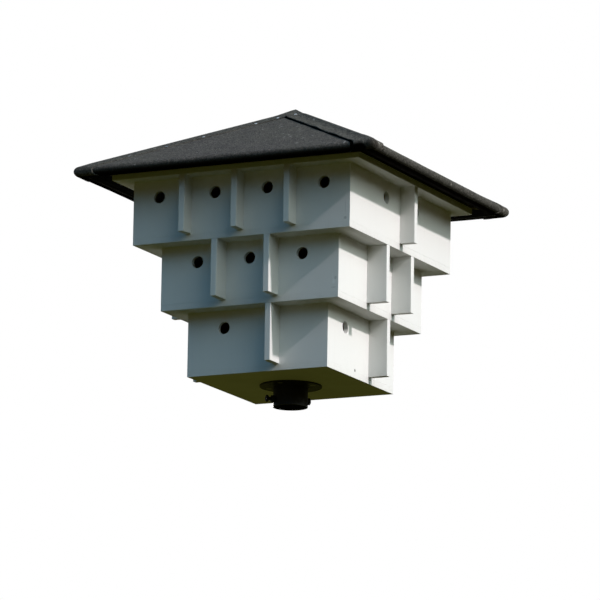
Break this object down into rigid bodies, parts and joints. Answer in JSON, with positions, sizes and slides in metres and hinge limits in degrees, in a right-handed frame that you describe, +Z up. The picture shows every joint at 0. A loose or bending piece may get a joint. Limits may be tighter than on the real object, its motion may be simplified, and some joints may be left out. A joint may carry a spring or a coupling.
{
  "type": "sparrow nest box tower",
  "caption": "Stepped wooden tower of sparrow nest chambers with round entrances and fins, a hipped felt roof and a steel socket for a pole.",
  "frame": {"origin": "middle of the pole socket's mouth", "axes": "+Z up along the pole, the front face towards -Y, the right face towards +X"},
  "size_m": [0.9, 0.9, 0.8311],
  "materials": {
    "painted_board": "white exterior paint on plywood, satin, lightly weathered",
    "bare_plywood": "bare plywood",
    "roof_felt": "mineral-faced bitumen roofing felt, dark grey",
    "black_rail": "black stained softwood",
    "black_steel": "black painted steel, satin",
    "zinc_steel": "zinc plated"
  },
  "bodies": {
    "tower": {"bottom_floor": "painted_board", "bottom_fins": "painted_board", "bottom_front_panel": "painted_board", "bottom_front_divider": "bare_plywood", "bottom_right_panel": "painted_board", "bottom_right_divider": "bare_plywood", "bottom_back_panel": "painted_board", "bottom_back_divider": "bare_plywood", "bottom_left_panel": "painted_board", "bottom_left_divider": "bare_plywood", "middle_floor": "painted_board", "middle_fins": "painted_board", "middle_front_panel": "painted_board", "middle_front_divider": "bare_plywood", "middle_right_panel": "painted_board", "middle_right_divider": "bare_plywood", "middle_back_panel": "painted_board", "middle_back_divider": "bare_plywood", "middle_left_panel": "painted_board", "middle_left_divider": "bare_plywood", "top_floor": "painted_board", "top_fins": "painted_board", "top_front_panel": "painted_board", "top_front_divider": "bare_plywood", "top_right_panel": "painted_board", "top_right_divider": "bare_plywood", "top_back_panel": "painted_board", "top_back_divider": "bare_plywood", "top_left_panel": "painted_board", "top_left_divider": "bare_plywood", "top_short_dividers": "bare_plywood", "soffit_board": "painted_board", "front_roof_board": "bare_plywood", "front_eave_rail": "black_rail", "front_felt": "roof_felt", "right_roof_board": "bare_plywood", "right_eave_rail": "black_rail", "right_felt": "roof_felt", "back_roof_board": "bare_plywood", "back_eave_rail": "black_rail", "back_felt": "roof_felt", "left_roof_board": "bare_plywood", "left_eave_rail": "black_rail", "left_felt": "roof_felt", "front_right_hip_cap": "roof_felt", "back_right_hip_cap": "roof_felt", "back_left_hip_cap": "roof_felt", "front_left_hip_cap": "roof_felt", "king_post": "bare_plywood", "hip_rafters": "bare_plywood", "flange_plate": "black_steel", "socket_tube": "black_steel", "weld_nuts": "black_steel", "flange_screws": "zinc_steel", "panel_screws": "zinc_steel", "roof_nails": "zinc_steel"},
    "clamp_screw": {"clamp_screw": "black_steel"},
    "set_screw": {"set_screw": "black_steel"}
  },
  "joints": [
    {"name": "clamp_screw_travel", "type": "slide", "parent": "tower", "child": "clamp_screw", "axis": [0.7071, 0.7071, 0], "range_m": [-0.009, 0.0085]},
    {"name": "set_screw_travel", "type": "slide", "parent": "tower", "child": "set_screw", "axis": [-0.7071, -0.7071, 0], "range_m": [-0.004, 0.006]}
  ]
}
